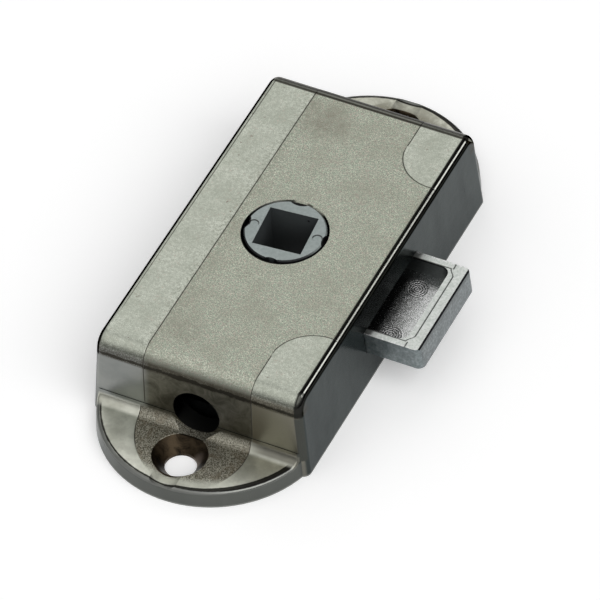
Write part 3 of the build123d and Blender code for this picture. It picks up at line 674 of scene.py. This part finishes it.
# ---------------------------------------------------------------- bolt
BOLT_MIDDLE_Y = -0.55
POCKET_HALF_WIDTH = 8.2
POCKET_LINE_X = 25.35           # where the photograph has the pocket's end
CROSS_LINE_X = 24.75
LIP_LINE_SIDE = 8.28
LIP_LINE_TO_X = (24.4, 24.6)
TOOL_RINGS = ((20.1, 4.3), (20.4, -6.0))
TOOL_RING_SPACING = 0.40
TOOL_RING_FROM = (0.1, 0.3)
TOOL_RING_TO = (1.3, 2.3)
POCKET_FLOOR_Z = (7.4, 7.8)
POCKET_END_X = (24.6, 24.9)
POCKET_SIDE = (8.25, 8.35)      # from the bolt's middle, as the two below
LINE_CORNER = (8.1, 8.3)
OUTER_EDGE = (9.15, 9.3)
RIM_Z = (9.5, 9.8)
LIP_Z = (9.55, 9.75)
CHAMFER_Z = (9.72, 9.80)
CASE_SHADE_X = (18.6, 19.4)
FLOOR_SHADE_X = (19.6, 22.6)
SCRATCHED_X = (20.5, 24.5)
END_FACE_X = (26.0, 26.5)

RIM = (0.66, 0.71, 0.66), (0.97, 0.99, 0.96)
RIM_MOTTLE = (0.50, 0.54, 0.51)
# Painted shade on the rim beside the case
RIM_SHADE_AT_CASE = (0.10, 0.10, 0.095)
POCKET_FLOOR = (0.62, 0.65, 0.62), (1.0, 1.0, 1.0)
SCRATCH_DARK = (0.06, 0.065, 0.06)
RING_DARK = (0.10, 0.105, 0.10)
# Painted shade on the pocket floor towards the case
FLOOR_SHADE_AT_CASE = (0.16, 0.17, 0.168)
RIM_LINE = (0.03, 0.032, 0.03)
BOLT_SIDE = (0.15, 0.18, 0.185), (0.29, 0.32, 0.325)
BOLT_SIDE_MOTTLE = (0.13, 0.15, 0.155)
BOLT_END = (0.12, 0.135, 0.14), (0.31, 0.34, 0.345)
BOLT_END_MOTTLE = (0.14, 0.155, 0.16)
# Painted shade on the pocket walls, darker along their lip
POCKET_WALL_SHADE = (0.06, 0.062, 0.06)
POCKET_LIP_SHADE = (0.02, 0.02, 0.02)
CHAMFER = (0.42, 0.45, 0.45), (0.025, 0.025, 0.03)      # below and along its upper edge
BOLT_BUMP = 0.00003


class BoltSurface(Surface):
    """Raw zinc casting: bright rims, tooled pocket floor, painted shade towards the case and on the
    pocket walls.
    """

    def __init__(self):
        super().__init__("zinc_bright")
        self.fine = self.noise(0.45, 5.0, 0.65)
        self.mottle = self.noise(1.3, 4.0, 0.6)
        self.swirl = self.noise(0.75, 6.0, 0.7, distortion=2.6)
        self.scratch = self.noise(0.30, 3.0, 0.7, distortion=3.5)
        self.from_middle = self.absolute(self.minus(self.y, BOLT_MIDDLE_Y))
        flat = self.step(self.nz, 0.8, 0.95)
        self.floor = self.both(flat, self.under(self.z, *POCKET_FLOOR_Z))
        self.rim = self.both(flat, self.step(self.z, *RIM_Z))
        self.wall = self.under(self.nz, 0.2, 0.4)
        self.rings = self.tool_rings()
        self.fine_lines = self.rim_lines()

    def tool_rings(self):
        """Waves, positive and negative, round the places where the tool stood."""
        rings = []
        for cx, cy in TOOL_RINGS:
            r = self.radius(cx, cy)
            uneven = self.add(r, self.both(self.swirl, 0.5))
            wave = self.math("SINE", self.both(uneven, 2 * math.pi / TOOL_RING_SPACING))
            ring = self.both(wave, self.under(r, *TOOL_RING_TO), self.step(r, *TOOL_RING_FROM))
            rings.append(ring)
        return self.add(*rings)

    def rim_lines(self):
        """Fine line on the rim beyond the pocket's end, and short ones across its corners."""
        x, from_middle = self.x, self.from_middle
        turn_in = self.both(self.step(from_middle, POCKET_HALF_WIDTH - 1.5, POCKET_HALF_WIDTH), 0.9)
        end_line = self.line(self.add(x, turn_in, -POCKET_LINE_X), 0.04, 0.10)
        end_line = self.both(end_line, self.under(from_middle, *LINE_CORNER))
        cross_line = self.line(self.minus(x, CROSS_LINE_X), 0.04, 0.10)
        cross_line = self.both(cross_line, self.step(from_middle, POCKET_HALF_WIDTH, 8.4))
        lip_line = self.line(self.minus(from_middle, LIP_LINE_SIDE), 0.05, 0.08)
        lip_line = self.both(lip_line, self.under(x, *LIP_LINE_TO_X))
        return self.both(self.either(end_line, cross_line, lip_line), self.rim)

    def floor_color(self):
        color = self.mix(self.share(self.swirl, 0.40, 0.60), *POCKET_FLOOR)
        dark_scratch = self.step(self.scratch, 0.53, 0.57)
        dark_scratch = self.both(dark_scratch, self.under(self.x, *SCRATCHED_X), 0.85)
        color = self.mix(dark_scratch, color, SCRATCH_DARK)
        color = self.mix(self.both(self.under(self.scratch, 0.40, 0.45), 0.7), color, WHITE)
        color = self.mix(self.both(self.step(self.rings, 0.0, 0.7), 0.8), color, WHITE)
        dark_rings = self.step(self.both(self.rings, -1.0), 0.0, 0.7)
        color = self.mix(self.both(dark_rings, 0.7), color, RING_DARK)
        # Painted shade on the pocket floor, darker towards the case
        floor_case_shade = self.under(self.add(self.x, self.both(self.swirl, 4.0)), *FLOOR_SHADE_X)
        return self.mix(self.both(floor_case_shade, 0.70), color, FLOOR_SHADE_AT_CASE)

    def rim_color(self):
        color = self.mix(self.share(self.fine, 0.35, 0.65), *RIM)
        return self.mix(self.share(self.mottle, 0.45, 0.7, 0.4), color, RIM_MOTTLE)

    def wall_color(self, pair, mottle_color):
        color = self.mix(self.share(self.fine, 0.35, 0.65), *pair)
        return self.mix(self.share(self.mottle, 0.42, 0.62, 0.5), color, mottle_color)

    def make(self):
        color = self.mix(self.floor, self.rim_color(), self.floor_color())
        # Painted shade on the rim beside the case
        rim_case_shade = self.both(self.rim, self.under(self.x, *CASE_SHADE_X), 0.75)
        color = self.mix(rim_case_shade, color, RIM_SHADE_AT_CASE)
        color = self.mix(self.both(self.fine_lines, 0.85), color, RIM_LINE)
        outer_glint = self.both(self.rim, self.step(self.from_middle, *OUTER_EDGE))
        outer_glint = self.both(outer_glint, self.step(self.fine, 0.45, 0.6))
        color = self.mix(outer_glint, color, WHITE)

        # Sides, end face, and painted shade on the pocket walls and their lip
        color = self.mix(self.wall, color, self.wall_color(BOLT_SIDE, BOLT_SIDE_MOTTLE))
        end_face = self.both(self.step(self.nx, 0.8, 0.9), self.step(self.x, *END_FACE_X))
        color = self.mix(end_face, color, self.wall_color(BOLT_END, BOLT_END_MOTTLE))
        # Painted shade on the pocket walls, darker along their lip
        pocket_wall = self.both(self.wall, self.under(self.x, *POCKET_END_X))
        pocket_wall = self.both(pocket_wall, self.under(self.from_middle, *POCKET_SIDE))
        color = self.mix(self.both(pocket_wall, 0.8), color, POCKET_WALL_SHADE)
        lip = self.both(self.step(self.z, *LIP_Z), pocket_wall)
        color = self.mix(self.both(lip, 0.9), color, POCKET_LIP_SHADE)
        # The tip's chamfer is dark along its upper edge
        chamfer = self.both(self.step(self.nx, 0.35, 0.5), self.step(self.nz, 0.3, 0.5))
        color = self.mix(chamfer, color, self.mix(self.step(self.z, *CHAMFER_Z), *CHAMFER))

        as_cast = self.scaled(self.fine, 0.3, 0.7, 0.32, 0.46)
        rough = self.blend(self.floor, as_cast, self.scaled(self.swirl, 0.3, 0.7, 0.14, 0.30))
        tooling = self.add(self.both(self.swirl, 1.1), self.both(self.rings, 0.8))
        tooling = self.both(self.floor, self.add(tooling, self.both(self.scratch, 0.5)))
        height = self.add(self.both(self.fine, 0.5), tooling, self.both(self.fine_lines, -1.0))
        return self.finish(color, rough, self.bump(height, BOLT_BUMP))


# ---------------------------------------------------------------- steel and ground
STAIN_SHADE = 0.6               # how dark a stain is beside the steel's own dark tone
STEEL_BUMP = 0.00001
PLATED = (0.42, 0.43, 0.44), (0.58, 0.59, 0.60)
BLACKENED = (0.020, 0.022, 0.024), (0.045, 0.048, 0.05)
SPRING_STEEL = (0.22, 0.23, 0.25), (0.34, 0.35, 0.37)
PLATED_NODES = (
    "back_plate", "cover_screws", "spacer_sleeves",
    "guide_bracket", "friction_ring", "thrust_washer",
)
BLACKENED_NODES = ("rod_carrier_upper", "rod_carrier_lower")
GROUND = (0.91, 0.91, 0.91), (0.93, 0.93, 0.93)
GROUND_GLOW = 0.25
GROUND_ROUGHNESS = 0.9


def steel_material(name, dark, light, rough_low, rough_high):
    """Plated, blackened or spring steel with fine rolling lines."""
    n = Surface(name)
    lines = n.noise(0.6, 4.0, 0.6, stretch=(1.0, 0.12, 1.0))
    stain = n.noise(5.0, 3.0, 0.6)
    color = n.mix(n.share(lines, 0.3, 0.7), dark, light)
    color = n.mix(n.share(stain, 0.45, 0.7, 0.4), color, tuple(STAIN_SHADE * c for c in dark))
    rough = n.scaled(stain, 0.3, 0.7, rough_low, rough_high)
    return n.finish(color, rough, n.bump(lines, STEEL_BUMP))


def floor_material():
    """Plain pale ground."""
    n = Surface("pale_ground")
    color = n.mix(n.noise(90.0, 2.0, 0.5), *GROUND)
    n.put(n.bsdf.inputs["Emission Color"], WHITE)
    n.put(n.bsdf.inputs["Emission Strength"], GROUND_GLOW)
    return n.finish(color, GROUND_ROUGHNESS, metallic=0.0)


def dress(node, material):
    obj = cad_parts[node]
    obj.data.materials.clear()
    obj.data.materials.append(material)


# ---------------------------------------------------------------- light and floor
# Soft lights of the studio: direction, angle of the full light, angle where it ends, strength
SOFT_LIGHTS = (
    ((-0.33, -0.45, 0.83), 14, 34, 0.40),
    ((-0.33, 0.60, 0.73), 13, 28, 0.80),
    ((0.66, 0.60, 0.46), 5, 12, 0.9),
    ((-0.64, 0.60, 0.48), 6, 14, 0.6),
)
SKY = 0.50
RIGHT_SHEET = 2.3
DARK = 0.05
SKY_FROM_Z = (0.08, 0.30)
SKY_TO_Y = (0.10, 0.45)
SHEET_FROM_X = (0.15, 0.45)
SHEET_TO_Y = (-0.05, 0.25)
SHEET_FROM_Z = (0.35, 0.60)
GROUND_HALF_SIZE = 1.5
GROUND_Z = -0.00005


def make_world():
    """Studio round the part: front sky, bright sheet at the right, soft lights, dark horizon."""
    world = bpy.data.worlds.new("studio")
    bpy.context.scene.world = world
    world.use_nodes = True
    g = Graph(world.node_tree)
    coords = g.tree.nodes.new("ShaderNodeTexCoord")
    way = coords.outputs["Generated"]
    x, y, z = g.split(way)
    above = g.step(z, *SKY_FROM_Z)
    front = g.under(y, *SKY_TO_Y)
    right = g.both(g.step(x, *SHEET_FROM_X), g.under(y, *SHEET_TO_Y), g.step(z, *SHEET_FROM_Z))
    level = g.add(g.both(above, front, SKY), g.both(right, RIGHT_SHEET), DARK)
    for direction, full, end, strength in SOFT_LIGHTS:
        toward = g.vector_math("DOT_PRODUCT", way, tuple(Vector(direction).normalized()))
        light = g.step(toward, math.cos(math.radians(end)), math.cos(math.radians(full)))
        level = g.add(level, g.both(light, strength))
    background = g.tree.nodes["Background"]
    background.inputs[0].default_value = (*WHITE, 1)
    g.put(background.inputs[1], level)
    bpy.context.scene.view_settings.view_transform = "Standard"


def make_floor():
    mesh = bpy.data.meshes.new("ground")
    half = GROUND_HALF_SIZE
    corners = [(-half, -half, 0), (half, -half, 0), (half, half, 0), (-half, half, 0)]
    mesh.from_pydata(corners, [], [(0, 1, 2, 3)])
    obj = bpy.data.objects.new("ground", mesh)
    obj.location.z = GROUND_Z
    bpy.context.scene.collection.objects.link(obj)
    mesh.materials.append(floor_material())


make_camera()
make_floor()
make_world()

dress("case", CaseSurface().make())
dress("rotor", rotor_material())
dress("bolt", BoltSurface().make())
plated = steel_material("zinc_plated_steel", *PLATED, 0.24, 0.38)
blackened = steel_material("blackened_steel", *BLACKENED, 0.30, 0.42)
spring = steel_material("spring_steel", *SPRING_STEEL, 0.2, 0.3)
for name in PLATED_NODES:
    dress(name, plated)
for name in BLACKENED_NODES:
    dress(name, blackened)
dress("detent_spring", spring)
